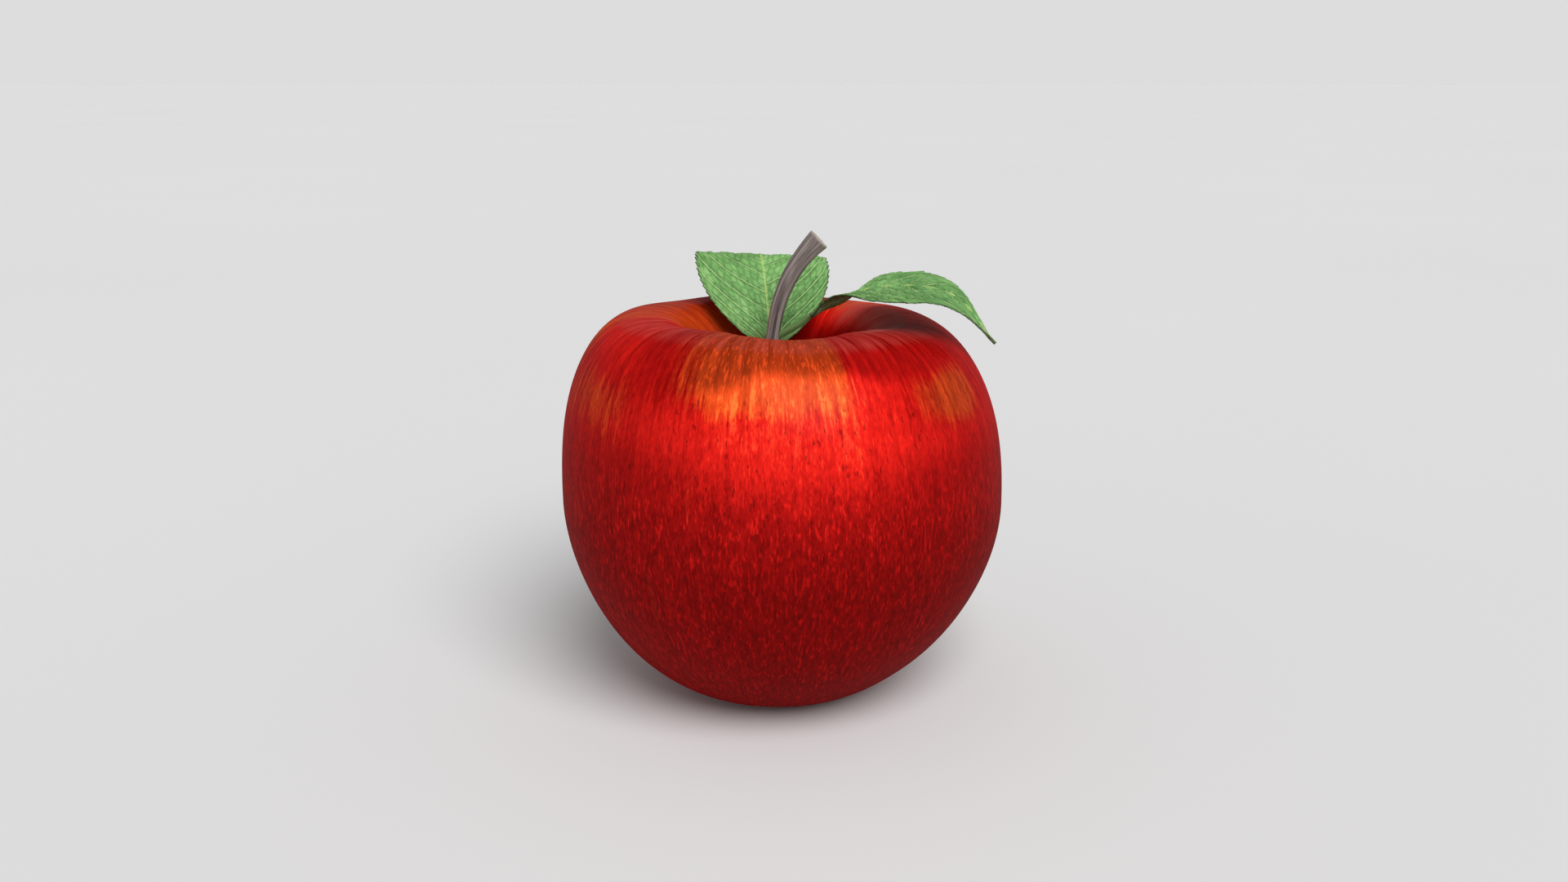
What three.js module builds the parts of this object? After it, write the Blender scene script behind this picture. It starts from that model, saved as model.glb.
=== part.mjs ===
// An apple with its stem, two leaves and dried calyx, resting on the flat ring round its calyx basin.
// Millimetres, +Z up. The origin is on the rest plane, under the middle of the fruit.
import * as THREE from "three";

// Fruit: a turned outline that is then bowed, tilted and lobed a little, as a grown apple is.
const fruitRadius = 38;
const equatorHeight = 34.4;
const crownHeight = 65.5;
const crestRadius = 21.7; // the highest ring, where the shoulder turns into the stalk cavity
const cavityDepth = 16;
const restOuterRadius = 10.8; // the flat ring that the apple stands on
const restInnerRadius = 8.2; // its inner edge is the mouth of the calyx basin
const basinDepth = 7;
const shoulderPower = 2.3; // 2 would be an ellipse; more is squarer
const flankPower = 1.77;
const cavityPower = 2.6;
const basinPower = 1.4;
const axisBow = 0.9; // both ends of the core line stand this far to -X of its middle
const crownSlope = -0.023; // the crown leans: higher at -X
const tiltStartHeight = 24;
const tiltFullHeight = 54;
const lobeCount = 5;
const lobeRise = 0.25;
const lobeAngle = THREE.MathUtils.degToRad(-48);
const gap = 0.3; // clearance between pieces that touch in life

// Stem: a woody stalk that grows from the cavity floor and leans to +X.
const stemSlimRadius = 1.05;
const stemEndRadius = 1.95;
const stemFootFlare = 0.5;
const stemEndPower = 4; // a higher power keeps the swelling nearer the cut end
const stemFootPower = 6;
const stemRise = 12.7; // its cut end above the crest
const stemLean = 6.1;
const stemFootX = -1.2;
const stemBelly = -1.45; // how far the stalk bows back from its foot before it leans over
const stemBowDepth = 3.5;
const stemBowRise = 5.5;
const stemBowLean = -0.29; // how far the upper bow point stands from the foot
const stemWaist = 0.35; // where along its length the stem is slim and upright, and the leaves join

// Leaves: a short round petiole that opens into a toothed blade.
const leafThickness = 0.7; // at the midrib; it thins to the edge
const petioleRadius = 0.6;
const teethPerSide = 20;
const toothDepth = 0.05; // as a share of the half width
const gutter = 0.01; // slope of each half of the blade up from the midrib
const tipHalfWidth = 0.15;

// Each leaf: where it heads, how it rolls about its midrib from base to tip, and the midrib's stops.
// A stop is its distance out from the bark, and its height over the skin under the blade's edge there.
const rightLeaf = {
  angle: -8,
  bladeWidth: 24,
  petioleShare: 0.12, // part of the midrib's length that is bare petiole
  baseTaper: 1.8, // how slowly the blade widens from the petiole; under 1 the base is round
  tipTaper: 1.7, // how slowly it widens from the tip
  baseRoll: -34,
  tipRoll: 4,
  stops: [
    { out: 1.15, over: 11.6 },
    { out: 3.35, over: 12.7 },
    { out: 8.75, over: 10.4 },
    { out: 18.95, over: 5.6 },
    { out: 28.95, over: 7.6 },
    { out: 36.35, over: 13.3 },
  ],
};
const backLeaf = {
  angle: 97,
  bladeWidth: 24.2,
  petioleShare: 0.075,
  baseTaper: 0.68,
  tipTaper: 0.9,
  baseRoll: 3,
  tipRoll: 3,
  stops: [
    { out: 1.15, over: 5.8 },
    { out: 3.35, over: 8.1 },
    { out: 7.95, over: 5.0 },
    { out: 16.95, over: 7.3 },
    { out: 22.45, over: 7.0 },
    { out: 28.95, over: 6.4 },
    { out: 35.55, over: 12.6 },
  ],
};
const rollStart = 0.13; // where along the midrib the blade starts and ends its roll
const rollEnd = 0.45; // it is also fully open and thin from here on

// Calyx: five dried sepals and a tuft of stamens inside the basin.
const sepalCount = 5;
const sepalRingRadius = 2.6;
const sepalLength = 4.6;
const sepalFlare = 2.6; // how far the tip stands out from the ring
const sepalThickness = 0.5;
const sepalTipWidth = 0.15; // as a share of the width at its root
const sepalTipThickness = 0.6; // as a share of sepalThickness
const sepalCurl = [
  { out: 0, down: 0 }, // shares of sepalFlare and sepalLength
  { out: 0.1, down: 0.45 },
  { out: 0.4, down: 0.8 },
  { out: 1, down: 1 },
];
const tuftRadius = 1.1;
const tuftLength = 3.6;
const tuftTipRadius = 0.3;

// Facets
const turns = 48;
const stemSides = 14;
const leafSides = 16;
const sepalSides = 8;

const UP = new THREE.Vector3(0, 0, 1);

// The core line's place at a height.
function coreX(z) {
  return -axisBow + axisBow * Math.sin(Math.PI * (z / crownHeight));
}

// A quarter turn from 0 to 1, squared off by a power.
function quarter(share, power) {
  return Math.max(0, Math.sin((Math.PI / 2) * share)) ** (2 / power);
}

function cavityHeight(r) {
  const bowl = Math.max(0, Math.cos((Math.PI / 2) * (r / crestRadius)));
  return crownHeight - cavityDepth * bowl ** cavityPower;
}

function basinHeight(r) {
  const bowl = Math.max(0, Math.cos((Math.PI / 2) * (r / restInnerRadius)));
  return basinDepth * bowl ** basinPower;
}

// Height of the skin as seen from above, before the crown leans.
function skinHeight(r) {
  if (r < crestRadius) {
    return cavityHeight(r);
  }
  const out = Math.min(1, (r - crestRadius) / (fruitRadius - crestRadius));
  const drop = (1 - out ** shoulderPower) ** (1 / shoulderPower);
  return equatorHeight + (crownHeight - equatorHeight) * drop;
}

// How much the crown leans and lobes at a point of the turned outline.
function crownLift(x, y, z) {
  const weight = THREE.MathUtils.smoothstep(z, tiltStartHeight, tiltFullHeight);
  const lobe = Math.cos(lobeCount * (Math.atan2(y, x) - lobeAngle));
  const crest = Math.sin(Math.PI * Math.min(1, Math.hypot(x, y) / fruitRadius));
  return weight * (crownSlope * x + lobeRise * lobe * crest);
}

// Outline of the fruit from the basin floor round to the cavity floor.
function fruitOutline() {
  const points = [];
  const basinSteps = 5;
  const flankSteps = 9;
  const shoulderSteps = 8;
  const cavitySteps = 9;
  for (let i = 0; i < basinSteps; i++) {
    const r = restInnerRadius * (i / basinSteps);
    points.push(new THREE.Vector2(r, basinHeight(r)));
  }
  points.push(new THREE.Vector2(restInnerRadius, 0));
  for (let i = 0; i <= flankSteps; i++) {
    const share = i / flankSteps;
    const out = quarter(share, flankPower);
    const drop = quarter(1 - share, flankPower);
    const r = restOuterRadius + (fruitRadius - restOuterRadius) * out;
    points.push(new THREE.Vector2(r, equatorHeight * (1 - drop)));
  }
  for (let i = 1; i <= shoulderSteps; i++) {
    const share = i / shoulderSteps;
    const r = crestRadius + (fruitRadius - crestRadius) * quarter(1 - share, shoulderPower);
    const rise = (crownHeight - equatorHeight) * quarter(share, shoulderPower);
    points.push(new THREE.Vector2(r, equatorHeight + rise));
  }
  for (let i = cavitySteps - 1; i >= 0; i--) {
    const r = crestRadius * (i / cavitySteps);
    points.push(new THREE.Vector2(r, cavityHeight(r)));
  }
  return points;
}

// Moves each vertex of a geometry to where place puts it.
function shape(geometry, place) {
  const position = geometry.getAttribute("position");
  const vertex = new THREE.Vector3();
  for (let i = 0; i < position.count; i++) {
    vertex.fromBufferAttribute(position, i);
    const moved = place(vertex);
    position.setXYZ(i, moved.x, moved.y, moved.z);
  }
  geometry.computeVertexNormals();
  return geometry;
}

function fruitGeometry() {
  const turned = new THREE.LatheGeometry(fruitOutline(), turns);
  turned.rotateX(Math.PI / 2);
  return shape(turned, ({ x, y, z }) => {
    return new THREE.Vector3(x + coreX(z), y, z + crownLift(x, y, z));
  });
}

// A closed tube along a curve that stays in one upright plane. The section at t is an ellipse:
// halfWidth across the plane and halfDepth in it, rolled about the curve, with a gutter.
function sweep(curve, sides, steps, section) {
  const tube = new THREE.CylinderGeometry(1, 1, 1, sides, steps);
  const across = new THREE.Vector3();
  const outward = new THREE.Vector3();
  return shape(tube, (vertex) => {
    const t = THREE.MathUtils.clamp(vertex.y + 0.5, 0, 1);
    const { halfWidth, halfDepth, roll = 0, fold = 0 } = section(t);
    const centre = curve.getPointAt(t);
    const tangent = curve.getTangentAt(t);
    across.copy(curve.side).applyAxisAngle(tangent, roll);
    outward.crossVectors(across, tangent);
    const reach = vertex.x * halfWidth;
    const lift = vertex.z * halfDepth + fold * Math.abs(reach);
    return centre.addScaledVector(across, reach).addScaledVector(outward, lift);
  });
}

// The plane of a swept curve is given by the direction that it heads in.
function withHeading(curve, heading) {
  curve.side = new THREE.Vector3().crossVectors(heading, UP).normalize();
  return curve;
}

// Centre line of the stem.
function stemCurve() {
  const footRadius = stemSlimRadius + stemFootFlare;
  const footReach = Math.abs(stemFootX - coreX(cavityHeight(0))) + footRadius;
  const footDip = (footRadius * Math.abs(stemBelly)) / (cavityDepth - stemBowDepth); // as the foot leans
  const floorLift = Math.abs(crownSlope) * footReach + lobeRise * Math.sin(Math.PI * (footReach / fruitRadius));
  const floor = cavityHeight(footReach) + floorLift + footDip + gap;
  const points = [
    new THREE.Vector3(stemFootX, 0, floor),
    new THREE.Vector3(stemFootX + stemBelly, 0, crownHeight - stemBowDepth),
    new THREE.Vector3(stemFootX + stemBowLean, 0, crownHeight + stemBowRise),
    new THREE.Vector3(stemLean, 0, crownHeight + stemRise),
  ];
  return withHeading(new THREE.CubicBezierCurve3(...points), new THREE.Vector3(1, 0, 0));
}

function stemRadius(t) {
  const swelling = (stemEndRadius - stemSlimRadius) * t ** stemEndPower;
  return stemSlimRadius + swelling + stemFootFlare * (1 - t) ** stemFootPower;
}

function stemGeometry() {
  const steps = 20;
  return sweep(stemCurve(), stemSides, steps, (t) => {
    return { halfWidth: stemRadius(t), halfDepth: stemRadius(t) };
  });
}

// Half width of the blade at t along the midrib, without its teeth.
function bladeHalfWidth(t, { bladeWidth, petioleShare, baseTaper, tipTaper }) {
  const s = (t - petioleShare) / (1 - petioleShare);
  if (s <= 0) {
    return 0;
  }
  const peak = baseTaper / (baseTaper + tipTaper);
  const tallest = peak ** baseTaper * (1 - peak) ** tipTaper;
  return (bladeWidth / 2) * ((s ** baseTaper * (1 - s) ** tipTaper) / tallest);
}

// The midrib runs out from the stem through its stops, high enough for the blade to clear the fruit.
function midrib(leaf) {
  const { angle, stops } = leaf;
  const turned = THREE.MathUtils.degToRad(angle);
  const heading = new THREE.Vector3(Math.cos(turned), Math.sin(turned), 0);
  const root = stemCurve().getPointAt(stemWaist).setZ(0);
  const farthest = stemSlimRadius + stops[stops.length - 1].out;
  const points = stops.map(({ out, over }) => {
    const reach = stemSlimRadius + out;
    const point = root.clone().addScaledVector(heading, reach);
    const r = Math.hypot(point.x + axisBow, point.y, bladeHalfWidth(reach / farthest, leaf));
    return point.setZ(skinHeight(r) + crownSlope * (point.x + axisBow) + over);
  });
  return withHeading(new THREE.CatmullRomCurve3(points, false, "centripetal"), heading);
}

function leafGeometry(leaf) {
  const steps = 2 * teethPerSide;
  return sweep(midrib(leaf), leafSides, steps, (t) => {
    const notch = Math.round(t * steps) % 2 === 0 ? toothDepth : 0;
    const blade = bladeHalfWidth(t, leaf) * (1 - notch);
    const opening = THREE.MathUtils.smoothstep(t, 0, rollEnd);
    const turning = THREE.MathUtils.smoothstep(t, rollStart, rollEnd);
    return {
      halfWidth: Math.max(blade, THREE.MathUtils.lerp(petioleRadius, tipHalfWidth, opening)),
      halfDepth: THREE.MathUtils.lerp(petioleRadius, leafThickness / 2, opening),
      roll: THREE.MathUtils.degToRad(THREE.MathUtils.lerp(leaf.baseRoll, leaf.tipRoll, turning)),
      fold: gutter,
    };
  });
}

// One sepal hangs from the basin floor and curls outwards.
function sepalGeometry(angle) {
  const heading = new THREE.Vector3(Math.cos(angle), Math.sin(angle), 0);
  const steps = 8;
  const halfWidth = sepalRingRadius * Math.sin(Math.PI / sepalCount) - gap;
  const top = basinHeight(Math.hypot(sepalRingRadius + sepalThickness / 2, halfWidth)) - gap;
  const centre = new THREE.Vector3(coreX(top), 0, 0);
  const points = sepalCurl.map(({ out, down }) => {
    const point = centre.clone().addScaledVector(heading, sepalRingRadius + sepalFlare * out);
    return point.setZ(top - sepalLength * down);
  });
  const curve = withHeading(new THREE.CatmullRomCurve3(points, false, "centripetal"), heading);
  return sweep(curve, sepalSides, steps, (t) => {
    return {
      halfWidth: halfWidth * THREE.MathUtils.lerp(1, sepalTipWidth, t ** 1.5),
      halfDepth: (sepalThickness / 2) * THREE.MathUtils.lerp(1, sepalTipThickness, t),
    };
  });
}

// The stamens, dried into one tuft, hang from the middle of the basin.
function tuftGeometry() {
  const steps = 6;
  const top = basinDepth - gap;
  const points = [new THREE.Vector2(0, top - tuftLength)];
  for (let i = 0; i <= steps; i++) {
    const share = i / steps;
    const r = THREE.MathUtils.lerp(tuftRadius, tuftTipRadius, share ** 2);
    points.push(new THREE.Vector2(r, top - tuftLength * (1 - share)));
  }
  points.push(new THREE.Vector2(0, top));
  const turned = new THREE.LatheGeometry(points, sepalSides);
  turned.rotateX(Math.PI / 2);
  return turned.translate(coreX(basinDepth), 0, 0);
}

function add(group, name, geometry, material) {
  const mesh = new THREE.Mesh(geometry, material);
  mesh.name = name;
  group.add(mesh);
}

const skin = new THREE.MeshStandardMaterial({ color: 0xb0140c, roughness: 0.3, metalness: 0 });
const bark = new THREE.MeshStandardMaterial({ color: 0x7c716d, roughness: 0.85, metalness: 0 });
const leafGreen = new THREE.MeshStandardMaterial({ color: 0x6fae5c, roughness: 0.55, metalness: 0 });
const driedCalyx = new THREE.MeshStandardMaterial({ color: 0x5a4330, roughness: 0.9, metalness: 0 });

const apple = new THREE.Group();
add(apple, "fruit", fruitGeometry(), skin);
add(apple, "stem", stemGeometry(), bark);
add(apple, "leaf_right", leafGeometry(rightLeaf), leafGreen);
add(apple, "leaf_back", leafGeometry(backLeaf), leafGreen);
for (let i = 0; i < sepalCount; i++) {
  add(apple, `sepal_${i + 1}`, sepalGeometry((2 * Math.PI * i) / sepalCount), driedCalyx);
}
add(apple, "stamen_tuft", tuftGeometry(), driedCalyx);

export default apple;
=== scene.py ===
"""Looks for an apple with its stem, two leaves and calyx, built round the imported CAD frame."""

import math
import random

import bpy
import numpy as np
from mathutils import Matrix, Vector, kdtree, noise


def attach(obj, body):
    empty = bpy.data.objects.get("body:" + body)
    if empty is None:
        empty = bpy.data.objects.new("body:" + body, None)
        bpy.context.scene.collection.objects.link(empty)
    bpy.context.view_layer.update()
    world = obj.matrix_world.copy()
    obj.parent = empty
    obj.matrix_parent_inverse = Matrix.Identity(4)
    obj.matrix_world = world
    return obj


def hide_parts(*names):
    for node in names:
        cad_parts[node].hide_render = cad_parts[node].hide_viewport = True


MM = 0.001
ROOT = "root"

# The fruit's outline, in mm: the same values and formulas as the CAD source.
FRUIT_RADIUS = 38.0
EQUATOR_HEIGHT = 34.4
CROWN_HEIGHT = 65.5
CREST_RADIUS = 21.7
CAVITY_DEPTH = 16.0
REST_OUTER = 10.8
REST_INNER = 8.2
BASIN_DEPTH = 7.0
SHOULDER_POWER = 2.3
FLANK_POWER = 1.77
CAVITY_POWER = 2.6
BASIN_POWER = 1.4
AXIS_BOW = 0.9
CROWN_SLOPE = -0.023
TILT_START, TILT_FULL = 24.0, 54.0
LOBE_COUNT = 5
LOBE_RISE = 0.25
LOBE_ANGLE = math.radians(-48)
GAP = 0.3

# The stem, in mm.
STEM_SLIM = 1.05
STEM_END = 1.95
STEM_FLARE = 0.5
STEM_END_POWER, STEM_FOOT_POWER = 4, 6
STEM_RISE = 12.7
STEM_LEAN = 6.1
STEM_FOOT_X = -1.2
STEM_BELLY = -1.45
STEM_BOW_DEPTH = 3.5
STEM_BOW_RISE = 5.5
STEM_BOW_LEAN = -0.29
STEM_WAIST = 0.35

# The leaves, in mm and degrees. A stop is (distance out from the bark, height over the skin).
# tone lightens the cells between the veins, and rib is the share of its full width that the
# pale line on the midrib has.
PETIOLE_RADIUS = 0.6
GUTTER = 0.01
ROLL_START, ROLL_END = 0.13, 0.45
RIGHT_LEAF = {
    "angle": -8, "width": 24.0, "petiole": 0.12, "base_taper": 1.8, "tip_taper": 1.7,
    "base_roll": -34, "tip_roll": 4, "tone": -0.35, "rib": 0.45,
    "stops": [(1.15, 11.6), (3.35, 12.7), (8.75, 10.4), (18.95, 5.6), (28.95, 7.6),
              (36.35, 13.3)],
}
BACK_LEAF = {
    "angle": 97, "width": 24.2, "petiole": 0.075, "base_taper": 0.68, "tip_taper": 0.9,
    "base_roll": 3, "tip_roll": 3, "tone": 0.0, "rib": 1.0,
    "stops": [(1.15, 5.8), (3.35, 8.1), (7.95, 5.0), (16.95, 7.3), (22.45, 7.0), (28.95, 6.4),
              (35.55, 12.6)],
}

# The calyx, in mm.
SEPAL_COUNT = 5
SEPAL_RING = 2.6
SEPAL_LENGTH = 4.6
SEPAL_FLARE = 2.6
SEPAL_THICKNESS = 0.5
SEPAL_CURL = [(0, 0), (0.1, 0.45), (0.4, 0.8), (1, 1)]
TUFT_RADIUS = 1.1
TUFT_LENGTH = 3.6
FILAMENT_COUNT = 17
FILAMENT_RADIUS = 0.1

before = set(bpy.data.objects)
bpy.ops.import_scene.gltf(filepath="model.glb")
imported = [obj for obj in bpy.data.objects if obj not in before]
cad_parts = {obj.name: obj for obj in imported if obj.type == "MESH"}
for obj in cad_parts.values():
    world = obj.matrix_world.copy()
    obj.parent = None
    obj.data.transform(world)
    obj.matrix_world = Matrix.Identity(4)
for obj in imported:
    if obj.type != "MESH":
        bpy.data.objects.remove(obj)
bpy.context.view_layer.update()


# ---------------------------------------------------------------- shape formulas

def smooth(x, low, high):
    """0 below low, 1 above high, and a smooth step between."""
    t = np.clip((x - low) / (high - low), 0.0, 1.0)
    return t * t * (3 - 2 * t)


def mix(a, b, share):
    return a + (b - a) * share


def core_x(z):
    return -AXIS_BOW + AXIS_BOW * np.sin(np.pi * z / CROWN_HEIGHT)


def quarter(share, power):
    return np.maximum(0, np.sin(np.pi / 2 * share)) ** (2 / power)


def cavity_height(r):
    bowl = np.maximum(0, np.cos(np.pi / 2 * r / CREST_RADIUS))
    return CROWN_HEIGHT - CAVITY_DEPTH * bowl ** CAVITY_POWER


def basin_height(r):
    bowl = np.maximum(0, np.cos(np.pi / 2 * r / REST_INNER))
    return BASIN_DEPTH * bowl ** BASIN_POWER


def skin_height(r):
    if r < CREST_RADIUS:
        return float(cavity_height(r))
    out = min(1, (r - CREST_RADIUS) / (FRUIT_RADIUS - CREST_RADIUS))
    drop = (1 - out ** SHOULDER_POWER) ** (1 / SHOULDER_POWER)
    return EQUATOR_HEIGHT + (CROWN_HEIGHT - EQUATOR_HEIGHT) * drop


def crown_lift(x, y, z):
    weight = smooth(z, TILT_START, TILT_FULL)
    lobe = np.cos(LOBE_COUNT * (np.arctan2(y, x) - LOBE_ANGLE))
    crest = np.sin(np.pi * np.minimum(1, np.hypot(x, y) / FRUIT_RADIUS))
    return weight * (CROWN_SLOPE * x + LOBE_RISE * lobe * crest)


def along_curve(points, count):
    """The points of a fine polyline, spaced evenly along its length."""
    steps = np.linalg.norm(np.diff(points, axis=0), axis=1)
    length = np.concatenate([[0], np.cumsum(steps)])
    at = np.linspace(0, length[-1], count)
    return np.stack([np.interp(at, length, points[:, i]) for i in range(3)], 1), length[-1]


def catmull_rom(stops, count):
    """A centripetal curve through the stops, as (count, 3) points evenly spaced, and its length."""
    p = np.asarray(stops, float)
    p = np.vstack([2 * p[0] - p[1], p, 2 * p[-1] - p[-2]])
    fine = []
    for i in range(1, len(p) - 2):
        d0, d1, d2 = (np.linalg.norm(p[j + 1] - p[j]) ** 0.5 for j in (i - 1, i, i + 1))
        m1 = (p[i] - p[i - 1]) / d0 - (p[i + 1] - p[i - 1]) / (d0 + d1) + (p[i + 1] - p[i]) / d1
        m2 = (p[i + 1] - p[i]) / d1 - (p[i + 2] - p[i]) / (d1 + d2) + (p[i + 2] - p[i + 1]) / d2
        m1, m2 = m1 * d1, m2 * d1
        t = np.linspace(0, 1, 120, endpoint=False)[:, None]
        c2 = -3 * p[i] + 3 * p[i + 1] - 2 * m1 - m2
        c3 = 2 * p[i] - 2 * p[i + 1] + m1 + m2
        fine.append(p[i] + m1 * t + c2 * t**2 + c3 * t**3)
    return along_curve(np.vstack(fine + [p[-2:-1]]), count)


def tangents(line):
    d = np.gradient(line, axis=0)
    return d / np.linalg.norm(d, axis=1, keepdims=True)


def stem_line(count):
    foot_radius = STEM_SLIM + STEM_FLARE
    reach = abs(STEM_FOOT_X - core_x(cavity_height(0))) + foot_radius
    dip = foot_radius * abs(STEM_BELLY) / (CAVITY_DEPTH - STEM_BOW_DEPTH)
    lift = abs(CROWN_SLOPE) * reach + LOBE_RISE * math.sin(math.pi * reach / FRUIT_RADIUS)
    floor = cavity_height(reach) + lift + dip + GAP
    a = np.array([STEM_FOOT_X, 0, floor])
    b = np.array([STEM_FOOT_X + STEM_BELLY, 0, CROWN_HEIGHT - STEM_BOW_DEPTH])
    c = np.array([STEM_FOOT_X + STEM_BOW_LEAN, 0, CROWN_HEIGHT + STEM_BOW_RISE])
    d = np.array([STEM_LEAN, 0, CROWN_HEIGHT + STEM_RISE])
    t = np.linspace(0, 1, 400)[:, None]
    fine = a * (1 - t) ** 3 + 3 * b * t * (1 - t) ** 2 + 3 * c * t**2 * (1 - t) + d * t**3
    return along_curve(fine, count)[0]


def stem_radius(t):
    swell = (STEM_END - STEM_SLIM) * t**STEM_END_POWER
    return STEM_SLIM + swell + STEM_FLARE * (1 - t) ** STEM_FOOT_POWER


def blade_half_width(t, leaf):
    s = np.clip((t - leaf["petiole"]) / (1 - leaf["petiole"]), 0, 1)
    base, tip = leaf["base_taper"], leaf["tip_taper"]
    peak = base / (base + tip)
    tallest = peak**base * (1 - peak) ** tip
    return leaf["width"] / 2 * s**base * (1 - s) ** tip / tallest


# ---------------------------------------------------------------- meshes

def noise_at(points, seed=0.0, octaves=3):
    """Fractal noise from about -1 to 1 at each point of an (..., 3) array."""
    flat = np.asarray(points, float).reshape(-1, 3)
    shift = Vector((seed * 7.31, seed * 3.17, seed * 5.77))
    found = [noise.fractal(Vector(p) + shift, 1.0, 2.0, octaves) for p in flat]
    return np.array(found).reshape(np.asarray(points).shape[:-1])


def add_piece(name, verts, faces, material, nodes):
    """A smooth mesh through points in mm, as a piece that stands in for CAD nodes."""
    mesh = bpy.data.meshes.new(name)
    mesh.from_pydata((np.asarray(verts) * MM).tolist(), [], faces)
    mesh.validate()
    mesh.polygons.foreach_set("use_smooth", [True] * len(mesh.polygons))
    mesh.materials.append(material)
    piece = bpy.data.objects.new(name, mesh)
    bpy.context.scene.collection.objects.link(piece)
    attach(piece, ROOT)
    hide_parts(*nodes)
    return piece


def set_attribute(mesh, key, value):
    """Store an (n, m) or (n, m, 3) array on the points of a tube, with a mean for each end."""
    value = np.asarray(value, np.float32)
    if value.ndim == 3:
        whole = np.vstack([value.reshape(-1, 3), value[0].mean(0), value[-1].mean(0)])
        kind, field = "FLOAT_VECTOR", "vector"
    else:
        whole = np.concatenate([value.ravel(), [value[0].mean(), value[-1].mean()]])
        kind, field = "FLOAT", "value"
    attribute = mesh.attributes.new(key, kind, "POINT")
    attribute.data.foreach_set(field, whole.astype(np.float32).ravel())


def tube(name, rings, attributes, material, nodes):
    """A closed mesh through rings, an (n, m, 3) array in mm, with a point at each end.
    attributes gives the named values that the shader reads."""
    n, m, _ = rings.shape
    verts = np.vstack([rings.reshape(-1, 3), rings[0].mean(0), rings[-1].mean(0)])
    i, j = np.meshgrid(np.arange(n - 1), np.arange(m), indexing="ij")
    k = (j + 1) % m
    faces = np.stack([i * m + j, i * m + k, (i + 1) * m + k, (i + 1) * m + j], -1)
    faces = faces.reshape(-1, 4).tolist()
    first, last = n * m, n * m + 1
    faces += [[first, (q + 1) % m, q] for q in range(m)]
    faces += [[last, (n - 1) * m + q, (n - 1) * m + (q + 1) % m] for q in range(m)]
    piece = add_piece(name, verts, faces, material, nodes)
    for key, value in attributes.items():
        set_attribute(piece.data, key, value)
    return piece


# ---------------------------------------------------------------- materials

class Shader:
    """A short way to write a procedural material."""

    def __init__(self, name):
        self.material = bpy.data.materials.new(name)
        self.material.use_nodes = True
        self.tree = self.material.node_tree
        self.tree.nodes.clear()
        out = self.tree.nodes.new("ShaderNodeOutputMaterial")
        self.bsdf = self.tree.nodes.new("ShaderNodeBsdfPrincipled")
        self.tree.links.new(self.bsdf.outputs["BSDF"], out.inputs["Surface"])

    def put(self, socket, value):
        if isinstance(value, bpy.types.NodeSocket):
            self.tree.links.new(value, socket)
        elif isinstance(value, (tuple, list)) and len(value) == 3 and socket.type == "RGBA":
            socket.default_value = (*value, 1)
        else:
            socket.default_value = value

    def node(self, kind, inputs=None, out=0, **settings):
        made = self.tree.nodes.new("ShaderNode" + kind)
        for key, value in settings.items():
            setattr(made, key, value)
        for key, value in (inputs or {}).items():
            self.put(made.inputs[key], value)
        return made.outputs[out]

    def attribute(self, name, out="Fac"):
        return self.node("Attribute", out=out, attribute_name=name)

    def place(self):
        return self.node("TexCoord", out="Object")

    def stretch(self, vector, scale, shift=(0, 0, 0)):
        return self.node("Mapping", {"Vector": vector, "Scale": scale, "Location": shift})

    def noise(self, vector, scale=1.0, detail=2.0, roughness=0.5, distortion=0.0):
        return self.node("TexNoise", {
            "Vector": vector, "Scale": scale, "Detail": detail, "Roughness": roughness,
            "Distortion": distortion,
        })

    def voronoi(self, vector):
        return self.node("TexVoronoi", {"Vector": vector, "Scale": 1.0}, out="Distance")

    def math(self, operation, a, b=0.0):
        return self.node("Math", {0: a, 1: b}, operation=operation)

    def scaled(self, value, amount):
        return self.math("MULTIPLY", value, amount)

    def swing(self, value, amount):
        """amount times how far a noise value lies from its middle, one half."""
        return self.scaled(self.math("SUBTRACT", value, 0.5), amount)

    def total(self, *values):
        found = values[0]
        for value in values[1:]:
            found = self.math("ADD", found, value)
        return found

    def inverse(self, value):
        return self.math("SUBTRACT", 1.0, value)

    def step(self, value, low, high, to_low=0.0, to_high=1.0):
        return self.node("MapRange", {"Value": value, "From Min": low, "From Max": high,
                                      "To Min": to_low, "To Max": to_high},
                         interpolation_type="SMOOTHSTEP")

    def mix(self, share, a, b, blend="MIX"):
        made = self.tree.nodes.new("ShaderNodeMix")
        made.data_type, made.blend_type = "RGBA", blend
        self.put(made.inputs[0], share)
        self.put(made.inputs[6], a)
        self.put(made.inputs[7], b)
        return made.outputs[2]

    def ramp(self, value, stops):
        made = self.tree.nodes.new("ShaderNodeValToRGB")
        self.put(made.inputs[0], value)
        elements = made.color_ramp.elements
        while len(elements) < len(stops):
            elements.new(0.5)
        for element, (place, colour) in zip(elements, stops):
            element.position, element.color = place, (*colour, 1)
        return made.outputs[0]

    def bump(self, height, distance, strength=1.0, normal=None):
        inputs = {"Height": height, "Distance": distance, "Strength": strength}
        if normal is not None:
            inputs["Normal"] = normal
        return self.node("Bump", inputs)

    def finish(self, **values):
        for key, value in values.items():
            self.put(self.bsdf.inputs[key.replace("_", " ")], value)
        return self.material


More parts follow.
